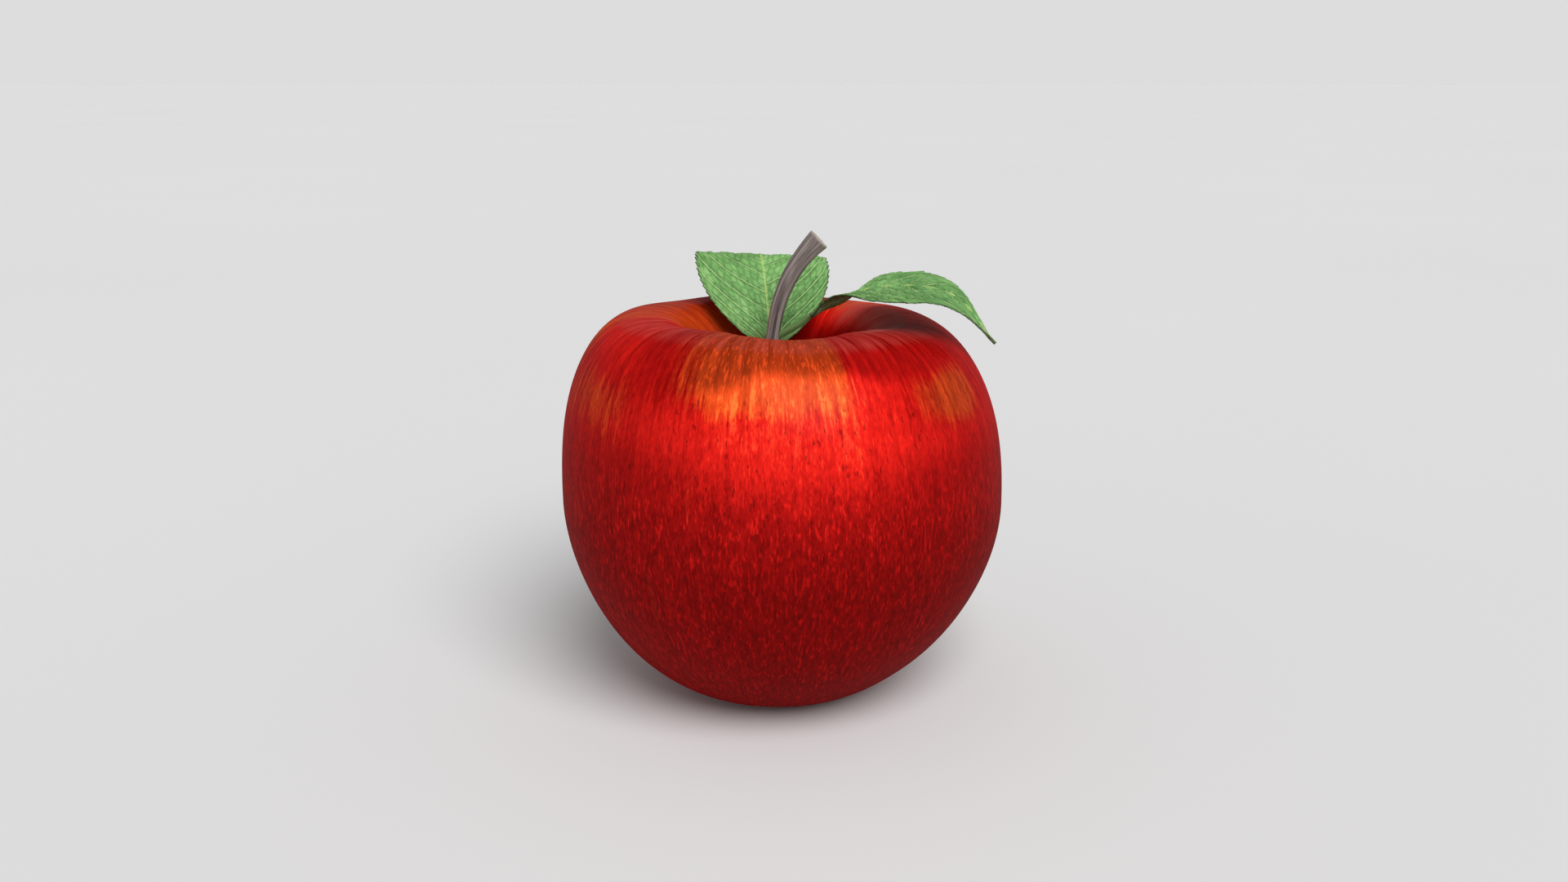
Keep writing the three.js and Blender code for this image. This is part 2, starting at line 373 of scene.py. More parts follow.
# Colours by tone, the strength of red light that the skin gives back.
BLUSH_RED = [(0.0, (0.02, 0.0002, 0.0002)), (0.2, (0.2, 0.0012, 0.001)),
             (0.4, (0.4, 0.004, 0.003)), (0.75, (0.78, 0.013, 0.008)),
             (1.0, (0.97, 0.05, 0.02))]
# The brightest stop of the orange ramp paints a yellow highlight on the front shoulder, where the
# painted shade is brightest.
GROUND_ORANGE_AND_HIGHLIGHT = [(0.0, (0.05, 0.004, 0.001)), (0.3, (0.3, 0.026, 0.004)),
                 (0.55, (0.6, 0.055, 0.008)), (0.8, (0.88, 0.08, 0.013)),
                 (1.0, (0.99, 0.19, 0.035))]
FLECK_RED = (0.12, 0.003, 0.002)
RUSSET_BROWN = (0.2, 0.085, 0.03)
# Pale rosy grey: painted sheen on the top of the crest and the outer right cavity wall, and a paler
# ring near the foot.
ROSY_PALE_SHEEN = (0.4, 0.08, 0.065)


def skin_material():
    """Red blush over an orange ground. Every noise is longer along the meridians than across."""
    s = Shader("apple_skin")
    grain = s.attribute("meridian", "Vector")
    dash = s.noise(s.stretch(grain, (125, 125, 34)), detail=2, roughness=0.6, distortion=0.3)
    mottle = s.noise(s.stretch(grain, (44, 44, 20), (5, 3, 1)), detail=2, distortion=0.6)
    streak = s.noise(s.stretch(grain, (30, 30, 2.6)), detail=3, roughness=0.6, distortion=0.3)
    broad = s.noise(s.stretch(grain, (4, 4, 1.6)), detail=2)
    bright = s.noise(s.stretch(grain, (84, 84, 24), (1, 7, 3)), detail=1)
    dark = s.noise(s.stretch(grain, (70, 70, 24), (9, 2, 5)), detail=1)

    # The painted shade, swung by mottling, streaks and short bright dashes.
    spots = s.math("MULTIPLY", s.total(s.swing(dash, 1.25), s.swing(mottle, 0.9)),
                   s.attribute("mottling"))
    lines = s.math("MULTIPLY", s.math("SUBTRACT", streak, 0.5), s.attribute("lines"))
    lit = s.math("MULTIPLY", s.step(bright, 0.54, 0.7), s.attribute("dashes"))
    swings = s.math("ADD", 1.0, s.total(spots, lines))
    tone = s.math("MULTIPLY", s.attribute("shade"), s.total(swings, lit))
    cover = s.total(s.attribute("ground"), s.swing(streak, 1.2), s.swing(dash, 0.5),
                    s.swing(broad, 0.9))
    colour = s.mix(s.step(cover, 0.2, 0.8), s.ramp(tone, BLUSH_RED),
                   s.ramp(tone, GROUND_ORANGE_AND_HIGHLIGHT))

    fleck = s.math("MULTIPLY", s.inverse(s.step(dark, 0.27, 0.36)), s.attribute("flecks"))
    colour = s.mix(s.scaled(fleck, 0.6), colour, FLECK_RED)
    rust = s.total(s.attribute("russet"), s.swing(streak, 1.6))
    colour = s.mix(s.step(rust, 0.35, 0.95), colour, RUSSET_BROWN)
    # Painted sheen in pale rosy grey over the crest and the outer right cavity wall; the same grey
    # near the foot.
    pale_and_sheen = s.total(s.attribute("pale_and_sheen"), s.swing(streak, 0.8))
    colour = s.mix(s.step(pale_and_sheen, 0.3, 1.1), colour, ROSY_PALE_SHEEN)

    ripple = s.noise(s.stretch(grain, (60, 60, 14)), detail=4, roughness=0.6)
    normal = s.bump(ripple, 0.0002, 0.25)
    normal = s.bump(s.math("SUBTRACT", dash, fleck), 0.00008, 0.5, normal)
    rough = s.step(mottle, 0.25, 0.75, 0.36, 0.48)
    return s.finish(Base_Color=colour, Roughness=rough, Normal=normal,
                    Specular_IOR_Level=0.0, Coat_Weight=0.09, Coat_Roughness=0.3)


BARK_GREY = [(0.2, (0.07, 0.052, 0.05)), (0.36, (0.19, 0.158, 0.148)),
             (0.5, (0.31, 0.27, 0.245)), (0.75, (0.53, 0.475, 0.41))]
CUT_WOOD = [(0.3, (0.36, 0.3, 0.24)), (0.7, (0.62, 0.55, 0.47))]


def bark_material():
    s = Shader("stem_bark")
    grain = s.attribute("bark_grain", "Vector")
    fibre = s.noise(s.stretch(grain, (7, 7, 0.5)), detail=5, roughness=0.7)
    patch = s.noise(s.stretch(grain, (1.4, 1.4, 0.5)), detail=3)
    # Darker where the grooves sink in: partly the bark's own colour, partly painted shade in the
    # grooves.
    tone = s.total(s.scaled(fibre, 0.85), s.scaled(s.attribute("groove"), 0.22),
                   s.swing(patch, 0.45))
    rings = s.noise(s.stretch(s.place(), (900, 900, 900)), detail=3)
    colour = s.mix(s.attribute("cut"), s.ramp(tone, BARK_GREY), s.ramp(rings, CUT_WOOD))
    normal = s.bump(fibre, 0.0003, 0.7)
    return s.finish(Base_Color=colour, Roughness=0.85, Normal=normal, Specular_IOR_Level=0.25)


LEAF_TOP = [(0.15, (0.05, 0.17, 0.035)), (0.55, (0.19, 0.42, 0.12)),
            (0.85, (0.36, 0.63, 0.24))]
NET_GREEN = (0.36, 0.58, 0.22)
VEIN_GREEN = (0.45, 0.65, 0.26)
MIDRIB_GREEN = (0.52, 0.67, 0.2)
UNDER_BLADE, UNDER_VEIN = (0.17, 0.33, 0.11), (0.34, 0.5, 0.22)
# The petiole's dark green is partly painted shade, as if the leaf's base lay in shadow.
SHADED_PETIOLE_GREEN = (0.13, 0.23, 0.07)
MARGIN_GREEN = (0.04, 0.075, 0.03)
SPOT_BROWN = (0.1, 0.07, 0.02)


def leaf_material():
    """Green quilted cells between paler veins. Distances are in mm across the blade."""
    s = Shader("leaf_green")
    flat = s.attribute("leaf_place", "Vector")
    index = s.attribute("vein_index")
    off = s.math("ABSOLUTE", s.math("SUBTRACT", index, s.math("ROUND", index)))
    side_away = s.math("MULTIPLY", off, s.attribute("vein_spacing"))
    vein = s.inverse(s.step(side_away, 0.07, 0.18))
    # groove: the valley beside each side vein, darkened below as painted shade.
    groove = s.inverse(s.step(side_away, 0.08, 0.55))
    gap = s.attribute("gap")
    net = s.inverse(s.step(gap, 0.04, 0.24))
    middle = s.math("ABSOLUTE", s.attribute("mid_away"))
    midrib = s.inverse(s.step(middle, 0.12, 0.26))
    speckle = s.noise(s.stretch(flat, (2.6, 2.6, 2.6)), detail=5, roughness=0.7)
    broad = s.noise(s.stretch(flat, (0.16, 0.16, 0.16)), detail=2)

    # The cells are lighter towards their swollen middles and darker at their sunk edges, painted
    # shade in the quilting.
    tone = s.total(s.scaled(s.attribute("cell"), 0.2), s.scaled(speckle, 0.5),
                   s.scaled(s.step(gap, 0.0, 0.55), 0.21), s.swing(broad, 0.5))
    # Painted shade in the sunk valleys beside the side veins.
    tone = s.math("SUBTRACT", tone, s.scaled(groove, 0.3))
    colour = s.mix(s.scaled(net, 0.12), s.ramp(tone, LEAF_TOP), NET_GREEN)
    colour = s.mix(s.scaled(vein, 0.72), colour, VEIN_GREEN)
    colour = s.mix(s.scaled(midrib, 0.6), colour, MIDRIB_GREEN)
    ribs = s.math("MAXIMUM", vein, midrib)
    under = s.mix(s.math("MAXIMUM", ribs, s.scaled(net, 0.6)), UNDER_BLADE, UNDER_VEIN)
    colour = s.mix(s.attribute("under"), colour, under)
    # The petiole and the base of the blade are painted dark, partly painted shade.
    colour = s.mix(s.attribute("stalk"), colour, SHADED_PETIOLE_GREEN)
    margin = s.inverse(s.step(s.attribute("edge_away"), 0.1, 0.3))
    colour = s.mix(s.scaled(margin, 0.8), colour, MARGIN_GREEN)
    spots = s.voronoi(s.stretch(flat, (0.22, 0.22, 0.22)))
    spot = s.inverse(s.step(spots, 0.035, 0.06))
    colour = s.mix(s.scaled(spot, 0.7), colour, SPOT_BROWN)
    relief = s.math("SUBTRACT", s.scaled(speckle, 0.4), s.scaled(net, 0.5))
    normal = s.bump(relief, 0.0002, 0.6)
    return s.finish(Base_Color=colour, Roughness=0.55, Normal=normal, Specular_IOR_Level=0.3)


DRY_BROWN = [(0.3, (0.05, 0.03, 0.018)), (0.55, (0.15, 0.1, 0.06)), (0.8, (0.33, 0.26, 0.18))]


def calyx_material():
    s = Shader("dried_calyx")
    fibre = s.noise(s.stretch(s.place(), (1, 1, 0.35)), scale=1800, detail=4, roughness=0.65)
    return s.finish(Base_Color=s.ramp(fibre, DRY_BROWN), Roughness=0.9,
                    Normal=s.bump(fibre, 0.0002, 0.8), Specular_IOR_Level=0.2,
                    Sheen_Weight=0.3)


FLOOR_GREY = [(0.3, (0.775, 0.775, 0.775)), (0.7, (0.785, 0.785, 0.785))]


def floor_material():
    s = Shader("studio_floor")
    mottle = s.noise(s.place(), scale=3.0, detail=2)
    return s.finish(Base_Color=s.ramp(mottle, FLOOR_GREY), Roughness=0.9,
                    Specular_IOR_Level=0.0)


# ---------------------------------------------------------------- fruit

TURNS = 256
BASIN_ROWS, FLANK_ROWS, SHOULDER_ROWS, CAVITY_ROWS = 22, 92, 60, 58
SKIN_DENT, FOLD_DEPTH = 0.35, 0.35


def fruit_outline():
    """(r, z) down the middle of the basin, round the flank and up over into the cavity."""
    r_basin = np.linspace(0.15, 1, BASIN_ROWS) * REST_INNER
    basin = np.stack([r_basin, basin_height(r_basin)], 1)
    ring = np.array([[mix(REST_INNER, REST_OUTER, s), 0] for s in (0.33, 0.67)])
    share = np.linspace(0, 1, FLANK_ROWS)
    flank = np.stack([
        REST_OUTER + (FRUIT_RADIUS - REST_OUTER) * quarter(share, FLANK_POWER),
        EQUATOR_HEIGHT * (1 - quarter(1 - share, FLANK_POWER)),
    ], 1)
    share = np.linspace(0, 1, SHOULDER_ROWS)[1:]
    shoulder = np.stack([
        CREST_RADIUS + (FRUIT_RADIUS - CREST_RADIUS) * quarter(1 - share, SHOULDER_POWER),
        EQUATOR_HEIGHT + (CROWN_HEIGHT - EQUATOR_HEIGHT) * quarter(share, SHOULDER_POWER),
    ], 1)
    r_cavity = np.linspace(1, 0, CAVITY_ROWS + 2)[1:-1] * CREST_RADIUS
    cavity = np.stack([r_cavity, cavity_height(r_cavity)], 1)
    line = np.vstack([basin, ring, flank, shoulder, cavity])
    return line[:, 0], line[:, 1]


def round_noise(circle, size, along, seed, octaves):
    """Noise round the fruit: size is the circle's radius in noise space, along its height."""
    place = np.stack([circle[None, :, 0] * size + 0 * along, circle[None, :, 1] * size + 0 * along,
                      along], -1)
    return noise_at(place, seed, octaves)


def build_fruit():
    r, z = fruit_outline()
    s = np.concatenate([[0], np.cumsum(np.hypot(np.diff(r), np.diff(z)))])
    theta = np.linspace(0, 2 * np.pi, TURNS, endpoint=False)
    circle = np.stack([np.cos(theta), np.sin(theta)], 1)
    rr, zz = r[:, None], z[:, None] * np.ones(TURNS)
    ss = s[:, None] * np.ones(TURNS)
    inner = (np.arange(len(r)) >= len(r) - CAVITY_ROWS).astype(float)[:, None]

    # Slow undulation of the flesh, only ever inwards, and nothing on the flat spot.
    undulate = 0.5 + 0.5 * round_noise(circle, 1.3, zz / 24, 1, 2)
    dent = SKIN_DENT * np.clip(undulate, 0, 1) * smooth(zz, 0.0, 6.0)
    # Shallow folds that run down from the rim into the cavity.
    fold_weight = inner * smooth(rr, 2.0, 9.0) * (1 - smooth(rr, 17, CREST_RADIUS))
    dent = dent + FOLD_DEPTH * fold_weight * round_noise(circle, 4, ss / 60, 2, 3)
    # A dent goes in square to the skin.
    slope = np.hypot(np.gradient(r), np.gradient(z))
    rr = rr - dent * (np.gradient(z) / slope)[:, None]
    sunk = zz + dent * (np.gradient(r) / slope)[:, None]
    x, y = rr * circle[None, :, 0], rr * circle[None, :, 1]
    rings = np.stack([x + core_x(sunk), y, sunk + crown_lift(x, y, sunk)], -1)

    deg = np.degrees(theta[None, :] * np.ones((len(r), 1)))
    meridian = np.stack([circle[None, :, 0] + 0 * zz, circle[None, :, 1] + 0 * zz,
                         ss / FRUIT_RADIUS], -1)
    attributes = {"meridian": meridian, **skin_paint(deg, zz, rr, inner)}
    return tube("fruit_skin", rings, attributes, skin_material(), ["fruit"])


def near_angle(deg, centre):
    return np.abs((deg - centre + 180) % 360 - 180)


def near(deg, centre, half, soft):
    """1 within half degrees of a direction, falling to 0 over soft degrees."""
    return 1 - smooth(near_angle(deg, centre), half, half + soft)


# How red the flank is at each height, in mm: on the two bright cheeks, and away from them.
# The cheek in front is a painted highlight where the key light falls; the one behind is a brighter
# blush.
# The red that deepens downwards is partly painted shade on the lower half.
CHEEK_HEIGHTS = [28, 36, 41, 45, 48.5, 52]
CHEEK_AND_HIGHLIGHT_SHADES = [0.17, 0.24, 0.33, 0.5, 0.7, 0.77]
PLAIN_SHADES = [0.16, 0.19, 0.235, 0.26, 0.31, 0.37]
CHEEK_POWER = 2.6
FRONT_HIGHLIGHT, BACK_CHEEK = -85, 75
BAND_HEIGHT = 60.6  # the dark red band under the rim starts here


def ground_patches(deg, z):
    """Where the blush leaves the orange ground uncovered, high on the shoulder."""
    front = smooth(deg, -130, -106) * (1 - smooth(deg, -74, -66)) * smooth(z, 53, 61)
    right = near(deg, -38, 3, 20) * smooth(z, 50, 57) * (1 - smooth(z, 58, 63))
    left = near(deg, -152, 3, 24) * smooth(z, 46, 55) * (1 - smooth(z, 55, 63))
    back = near(deg, 70, 20, 26) * smooth(z, 48, 57)
    side = near(deg, 165, 14, 24) * smooth(z, 50, 60)
    whole = np.maximum.reduce([front, 0.9 * right, 0.6 * left, 0.9 * back, 0.7 * side])
    return whole, front, right


def flank_shade(deg, z):
    """The red deepens downwards, partly as painted shade on the lower half. Two cheeks are
    brighter: the one in front is a painted highlight where the key light falls, the one behind a
    brighter blush.
    """
    lit = np.interp(z, CHEEK_HEIGHTS, CHEEK_AND_HIGHLIGHT_SHADES)
    plain = np.interp(z, CHEEK_HEIGHTS, PLAIN_SHADES) + 0.035 * near(deg, -135, 25, 30)
    spread = mix(27, 36, smooth(z, 46, 52))
    front = np.exp(-((near_angle(deg, FRONT_HIGHLIGHT) / spread) ** CHEEK_POWER))
    back = 0.75 * np.exp(-((near_angle(deg, BACK_CHEEK) / 38) ** CHEEK_POWER))
    return mix(plain, lit, np.maximum(front, back))


def skin_paint(deg, z, r, inner):
    """Where the blush is thin, deep or rusty. Directions are degrees round the fruit from +X,
    so -90 faces the viewer."""
    inside = inner * (1 - smooth(r, 14, 21))  # fades out before the crest
    outside = 1 - inside
    deg = (deg + 180) % 360 - 180
    wall = near(deg, 172, 36, 30)
    right_wall = near(deg, 5, 45, 40)
    under = (1 - smooth(r, 6, 14)) * (1 - smooth(z, 8, 9)) * (1 - inner)

    patches, front, right = ground_patches(deg, z)
    ground = outside * patches + inside * 0.8 * wall + 0.75 * under

    band_low = BAND_HEIGHT - 2.6 * near(deg, -120, 14, 12) - 1.4 * near(deg, -50, 10, 9)
    band = smooth(z, band_low, band_low + 2.6)
    band_shade = 0.34 + 0.14 * near(deg, -155, 22, 25) - 0.02 * near(deg, -45, 20, 20)
    dull = near(deg, -124, 7, 9) * smooth(z, 54, 59)
    shade = mix(flank_shade(deg, z), band_shade, band)
    shade = mix(shade, 0.3, 0.7 * dull)
    shade = mix(shade, 0.34, 0.8 * right)
    # Cavity walls: the left one is painted brighter over its orange ground, painted light where the
    # key light falls; the right one is a little darker deep down, painted shade, and much brighter
    # further out, painted light against the right leaf's shadow.
    shade = shade * outside + inside * (
        0.26 + 0.2 * wall - 0.04 * right_wall + 0.7 * right_wall * smooth(r, 11, 18))
    # Painted light on the far right shoulder, where the right leaf casts its shadow.
    shade = shade + 0.35 * outside * near(deg, 22, 20, 20) * smooth(z, 60, 64)
    shade = mix(shade, 0.5, under)

    mottling = 1.25 - 0.25 * smooth(z, 36, 42) - 0.4 * smooth(z, 44, 52) * outside
    mottling = mottling - 0.3 * smooth(z, 61.5, 64) * outside - 0.5 * inside
    dashes = 0.85 - 0.65 * smooth(z, 38, 48) + 0.55 * band * front
    # A pale rosy grey near the foot, and painted sheen along the top of the crest in place of a
    # soft reflection.
    pale_and_sheen = np.maximum(0.55 * (1 - smooth(z, 0.5, 6.5)), 0.52 * smooth(z, 63.0, 65.0)) * outside
    # On the outer right cavity wall: painted sheen, and painted light against the right leaf's
    # shadow.
    pale_and_sheen = np.maximum(pale_and_sheen, 0.75 * inner * smooth(r, 10, 17) * near(deg, 0, 40, 30))
    return {
        "ground": ground, "shade": shade, "dashes": dashes * outside, "mottling": mottling,
        "lines": 0.8 + 0.9 * smooth(z, 53, 58) * outside,
        "flecks": smooth(z, 26, 40) * (1 - smooth(z, 56, 61)) * outside,
        "russet": inside * (1 - smooth(r, 1.5, 10.5)) * 1.1, "pale_and_sheen": pale_and_sheen,
    }


# ---------------------------------------------------------------- stem

STEM_ROWS, STEM_SIDES = 170, 64
STEM_TWIST = 0.35
# The cut face, as (share of the radius, depth in mm): a rounded rim, a dish and a sunk pith.
CUT_FACE = [(0.97, -0.02), (0.9, 0.02), (0.8, 0.12), (0.55, 0.2), (0.3, 0.26), (0.2, 0.42),
            (0.08, 0.5)]


def stem_noise(theta, t, size, along, seed, octaves):
    place = np.stack([np.cos(theta) * size + 0 * t, np.sin(theta) * size + 0 * t,
                      t * along + 0 * theta], -1)
    return noise_at(place, seed, octaves)


def bark_radius(t, theta, groove):
    """The stem's radius with its grooves, knots, the node where the leaves leave it, and a
    smoother cut end."""
    knots = stem_noise(theta, t, 0.8, 5, 4, 2)
    middle = np.exp(-(((t - 0.62) / 0.2) ** 2))
    node = np.exp(-((t - STEM_WAIST) / 0.035) ** 2)
    rough = 1.0 + 0.1 * middle + 0.05 * np.clip(groove, -0.9, 0.5) + 0.03 * knots
    radius = stem_radius(t) * rough + 0.16 * node
    cut_end = stem_radius(t) * (0.985 + 0.015 * np.sin(5 * theta))
    radius = mix(radius, cut_end, smooth(t, 0.965, 1.0) * 0.8)
    return np.minimum(radius, stem_radius(t) * (0.995 + 0.15 * middle) + 0.2 * node)


def build_stem():
    line = stem_line(STEM_ROWS)
    tangent = tangents(line)
    t = np.linspace(0, 1, STEM_ROWS)[:, None]
    theta = np.linspace(0, 2 * np.pi, STEM_SIDES, endpoint=False)[None, :]
    across = np.array([0.0, -1.0, 0.0])
    outward = np.cross(across, tangent)
    grain = np.stack([np.cos(theta) + 0 * t, np.sin(theta) + 0 * t, t * 7 + 0 * theta], -1)
    groove = stem_noise(theta + STEM_TWIST * t, t, 2.6, 1.3, 3, 3)
    radius = bark_radius(t, theta, groove)
    body = (line[:, None, :] + radius[..., None] * (
        np.cos(theta)[..., None] * across + np.sin(theta)[..., None] * outward[:, None, :]))
    face = [line[-1] + (body[-1] - line[-1]) * share - tangent[-1] * depth
            for share, depth in CUT_FACE]
    rings = np.concatenate([body, np.array(face)])
    extra = len(face)
    cut = np.concatenate([smooth(t, 0.985, 1.0) * 0.6 + 0 * theta,
                          np.ones((extra, STEM_SIDES))])
    groove = np.concatenate([groove, np.full((extra, STEM_SIDES), 0.3)])
    grain = np.concatenate([grain, np.repeat(grain[-1:], extra, 0)])
    return tube("stem_bark", rings, {"bark_grain": grain, "groove": groove, "cut": cut},
                bark_material(), ["stem"])


# ---------------------------------------------------------------- leaves

LEAF_ROWS, LEAF_COLUMNS = 300, 132
VEIN_START, VEIN_STEP, VEIN_PAIRS = 0.06, 0.098, 9
VEIN_LEAN, VEIN_CURL = 0.17, 0.17  # how far a side vein runs towards the tip
VEIN_STAGGER = 0.45  # the veins of one side lie between those of the other
BLADE_LENGTH = 31  # about, in mm; it only sets the spacing of the cells
CELL = 1.2  # size of a quilted cell between the veins, in mm
CELL_ROWS = 14
TEETH, TOOTH_DEPTH = 30, 0.36
TOOTH_RISE = 0.78  # the share of a tooth that slopes out; the rest falls back
HALF_THICK, EDGE_THICK = 0.13, 0.03
BARK_POINTS = 401  # points of the stem's middle line that a leaf is placed by


def vein_index(s, v):
    """Which side vein a point is beside: whole numbers lie on a vein. s is along the blade."""
    a = np.abs(v)
    stagger = np.where(v > 0, VEIN_STAGGER, 0.0)
    return (s - VEIN_LEAN * a - VEIN_CURL * a**3 - VEIN_START) / VEIN_STEP - stagger


def vein_spacing(v, half, length):
    """Distance from one side vein to the next, in mm, square to the vein."""
    lean = (VEIN_LEAN + 3 * VEIN_CURL * np.abs(v) ** 2) * length / np.maximum(half, 1.0)
    return VEIN_STEP * length / np.sqrt(1 + lean**2)


def leaf_cells(index, mid_away, side, seed):
    """For each point of the blade, its cell's own tone and how far inside the cell it is."""
    rng = random.Random(seed)
    seeds, tones = [], []
    across = VEIN_STEP * BLADE_LENGTH
    apart = 20.0  # keeps the cells of the two halves of the blade from mixing
    for sign in (-1, 1):
        for i in range(-12, int(VEIN_PAIRS * across / CELL) + CELL_ROWS):
            for j in range(0, CELL_ROWS):
                along = (i + rng.random() * 0.75) * CELL
                away = (j + rng.random() * 0.75) * CELL
                seeds.append((along, away, sign * apart))
                tones.append(rng.random())
    tree = kdtree.KDTree(len(seeds))
    for i, p in enumerate(seeds):
        tree.insert(p, i)
    tree.balance()
    tone, gap = np.zeros(index.shape), np.zeros(index.shape)
    points = np.stack([index * across, mid_away, np.where(side > 0, apart, -apart)], -1)
    for where in np.ndindex(index.shape):
        first, second = tree.find_n(points[where], 2)
        tone[where] = tones[first[1]]
        gap[where] = second[2] - first[2]
    return tone, gap


def leaf_line(leaf, heading):
    """The middle line of a leaf, from inside the bark to the tip, and its length."""
    bark = stem_line(BARK_POINTS)
    root = bark[round(STEM_WAIST * (BARK_POINTS - 1))] * (1, 1, 0)
    far = STEM_SLIM + leaf["stops"][-1][0]
    stops = []
    for out, over in leaf["stops"]:
        reach = STEM_SLIM + out
        p = root + heading * reach
        r = math.hypot(math.hypot(p[0] + AXIS_BOW, p[1]), blade_half_width(reach / far, leaf))
        stops.append([p[0], p[1], skin_height(r) + CROWN_SLOPE * (p[0] + AXIS_BOW) + over])
    line, length = catmull_rom(stops, LEAF_ROWS + 1)
    # The petiole grows out of the bark.
    foot = bark[np.argmin(np.abs(bark[:, 2] - line[0][2]))] + heading * STEM_SLIM * 0.6
    t = np.linspace(0, 1, LEAF_ROWS + 1)
    return line + (foot - line[0]) * (1 - smooth(t, 0, 0.1))[:, None], length


def leaf_sides(leaf, heading, tangent):
    """Unit vectors across the blade and square out of it, for each row."""
    t = np.linspace(0, 1, LEAF_ROWS + 1)
    roll = np.radians(mix(leaf["base_roll"], leaf["tip_roll"], smooth(t, ROLL_START, ROLL_END)))
    side = Vector(np.cross(heading, (0, 0, 1.0)))
    across = np.array([Matrix.Rotation(a, 3, Vector(d)) @ side for a, d in zip(roll, tangent)])
    return across, np.cross(across, tangent)


def blade_relief(s, gap, side_away, mid_away):
    """Quilted cells that swell between sunk veins, with a thin raised line on each vein."""
    sunk = 0.34 * np.exp(-((side_away / 0.75) ** 2))
    height = smooth(s, 0.0, 0.05) * (
        0.18 * (1 - np.exp(-gap / 0.4)) - sunk - 0.1 * np.exp(-((mid_away / 1.1) ** 2)))
    height = height + 0.1 * np.exp(-((side_away / 0.2) ** 2))
    return height + 0.16 * np.exp(-((mid_away / mix(0.34, 0.14, s)) ** 2))


def stalk_half(t):
    """Half the width of the petiole, and the least half width further on."""
    return mix(PETIOLE_RADIUS * 0.95, 0.12, smooth(t, 0.02, ROLL_END * 0.8))


def toothed_margin(t, v, s, half):
    """How far each point lies from the middle line, how deep the margin is notched beside it,
    and how far a tooth leans towards the tip."""
    teeth = (s * TEETH + 0.3) % 1.0
    tooth = np.where(teeth < TOOTH_RISE, teeth / TOOTH_RISE, (1 - teeth) / (1 - TOOTH_RISE))
    notch = TOOTH_DEPTH * (1 - tooth) * smooth(s, 0.03, 0.12) * (1 - smooth(s, 0.93, 1.0))
    edge = smooth(np.abs(v), 0.88, 1.0)
    reach = v * np.maximum(half - notch * edge, 0)
    reach = np.sign(v) * np.maximum(np.abs(reach), np.abs(v) * stalk_half(t))
    return reach, notch, 0.3 * tooth * edge * (half > 1)


def blade_thickness(t, v, s, blade, reach):
    """Half the thickness of the blade, and the depth of the rib under it."""
    body = np.sqrt(np.clip(1 - v**2, 0, 1))
    rim = np.clip(1 - np.abs(v) ** 10, 0, 1) ** 0.5
    thick = mix(stalk_half(t) * body, HALF_THICK * rim + EDGE_THICK, blade)
    return thick, blade * mix(0.38, 0.1, s) * np.exp(-((reach / mix(0.5, 0.25, s)) ** 2))


def build_leaf(name, leaf, nodes, seed, material):
    turned = math.radians(leaf["angle"])
    heading = np.array([math.cos(turned), math.sin(turned), 0.0])
    line, length = leaf_line(leaf, heading)
    tangent = tangents(line)
    across, outward = leaf_sides(leaf, heading, tangent)

    # One ring per row: over the top from one margin to the other, and back underneath.
    v_top = np.linspace(-1, 1, LEAF_COLUMNS + 1)
    v_ring = np.concatenate([v_top, v_top[-2:0:-1]])
    under = np.concatenate([np.zeros(LEAF_COLUMNS + 1), np.ones(LEAF_COLUMNS - 1)])
    tt, vv = np.meshgrid(np.linspace(0, 1, LEAF_ROWS + 1), v_ring, indexing="ij")
    uu = under[None, :] * np.ones_like(tt)
    s = np.clip((tt - leaf["petiole"]) / (1 - leaf["petiole"]), 0, 1)
    half = blade_half_width(tt, leaf)
    blade = smooth(s, 0.0, 0.08)  # 0 on the petiole, 1 on the blade
    reach, notch, jut = toothed_margin(tt, vv, s, half)

    index = vein_index(s, vv)
    spacing = vein_spacing(vv, half, length)
    mid_away = np.abs(vv) * half
    cell, gap = leaf_cells(index, mid_away, vv, seed)
    height = blade_relief(s, gap, np.abs(index - np.round(index)) * spacing, mid_away)
    thick, rib = blade_thickness(tt, vv, s, blade, reach)
    wave = 0.3 * blade * np.abs(vv) ** 3 * noise_at(
        np.stack([tt * 6.0, np.sign(vv) * 3.0 + 0 * tt, 0 * tt + seed], -1), seed, 2)
    bend = GUTTER * np.abs(reach)
    lift = np.where(uu > 0.5, height * 0.8 - thick - rib + bend + wave,
                    height + thick + bend + wave)
    rings = line[:, None, :] + across[:, None, :] * reach[..., None]
    rings = rings + outward[:, None, :] * lift[..., None]
    rings = rings + tangent[:, None, :] * (jut * blade)[..., None]

    paint = {
        "leaf_place": np.stack([tt * length, reach, uu * 40.0 + seed * 3.0], -1),
        "vein_index": index, "vein_spacing": spacing, "gap": gap, "cell": cell + leaf["tone"],
        "mid_away": np.where(blade > 0, reach / leaf["rib"], 1.0), "under": uu,
        "edge_away": np.where(blade > 0.2, half - notch - np.abs(reach), 1.0),
        "stalk": 1 - smooth(s, 0.0, 0.1),
    }
    return tube(name, rings, paint, material, nodes)


# ---------------------------------------------------------------- calyx

SEPAL_ROWS, SEPAL_SIDES = 34, 20
FILAMENT_ROWS, FILAMENT_SIDES = 14, 6


